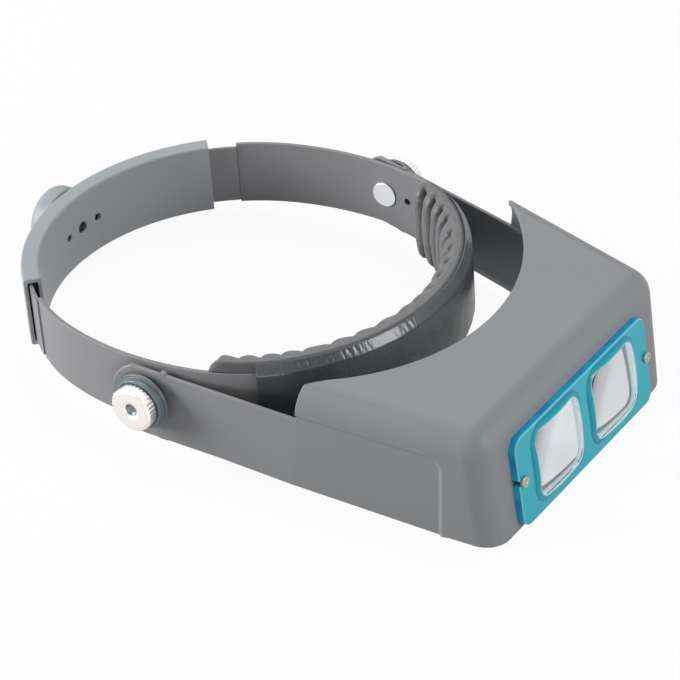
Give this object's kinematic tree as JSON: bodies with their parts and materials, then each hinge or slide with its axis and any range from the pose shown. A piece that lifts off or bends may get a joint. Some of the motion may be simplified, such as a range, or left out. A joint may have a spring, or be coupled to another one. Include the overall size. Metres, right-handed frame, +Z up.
{
  "type": "headband magnifier",
  "caption": "Head-worn magnifier: an adjustable padded strip, side pivots and a flip-up hooded visor that carries a blue plate with paired lenses.",
  "frame": {"origin": "midway along the part on the surface that it rests on, below the middle of its outline", "axes": "+X to the wearer's left, +Y to the back of the head, +Z up; the lenses face -Y"},
  "size_m": [0.1898, 0.2574, 0.0501],
  "materials": {
    "grey_plastic": "fine matte moulded texture",
    "slate_plastic": "matte",
    "grey_leatherette": "gathered grain",
    "slate_vinyl": "semi-gloss smooth vinyl",
    "nickel": "satin nickel",
    "spring_steel": "plain",
    "blue_acrylic": "clear tinted acrylic",
    "clear_lens": "polished"
  },
  "bodies": {
    "headband": {"head_strip": "grey_plastic", "strip_tail_left": "grey_plastic", "strip_tail_right": "grey_plastic", "forehead_cushion": "grey_leatherette", "cushion_sleeve": "slate_vinyl", "pivot_bolt_left": "nickel", "pivot_bolt_right": "nickel", "strip_spacer_left": "slate_plastic", "strip_spacer_right": "slate_plastic"},
    "visor": {"visor_shell": "grey_plastic", "lens_frame": "blue_acrylic", "lens_left": "clear_lens", "lens_right": "clear_lens", "plate_screw_left": "nickel", "plate_screw_right": "nickel", "friction_washer_left": "slate_plastic", "friction_washer_right": "slate_plastic"},
    "left_nut": {"thumb_nut_left": "nickel"},
    "right_nut": {"thumb_nut_right": "nickel"},
    "adjuster": {"rear_housing": "grey_plastic", "detent_spring": "spring_steel"},
    "knob": {"ratchet_knob": "grey_plastic", "knob_shaft": "spring_steel", "pinion_gear": "slate_plastic", "pinion_screw": "spring_steel"}
  },
  "joints": [
    {"name": "visor_pivot", "type": "hinge", "parent": "headband", "child": "visor", "pos_m": [0, 0.01555, 0.02396], "axis": [-1, 0, 0], "range_deg": [-5, 85]},
    {"name": "left_nut_turn", "type": "hinge", "parent": "headband", "child": "left_nut", "pos_m": [-0.092, 0.01555, 0.02396], "axis": [-1, 0, 0], "range_deg": [0, 360]},
    {"name": "right_nut_turn", "type": "hinge", "parent": "headband", "child": "right_nut", "pos_m": [0.092, 0.01555, 0.02396], "axis": [1, 0, 0], "range_deg": [0, 360]},
    {"name": "size_slide", "type": "slide", "parent": "headband", "child": "adjuster", "axis": [0, 0.9961, -0.0883], "range_m": [0, 0.042], "deforming": ["strip_tail_left", "strip_tail_right"]},
    {"name": "knob_turn", "type": "hinge", "parent": "adjuster", "child": "knob", "pos_m": [0, 0.11845, 0.01483], "axis": [0, 0.9961, -0.0883], "range_deg": [0, 602]}
  ],
  "couplings": [
    {"joint": "knob_turn", "follows": "size_slide", "rad_per_m": 250}
  ]
}
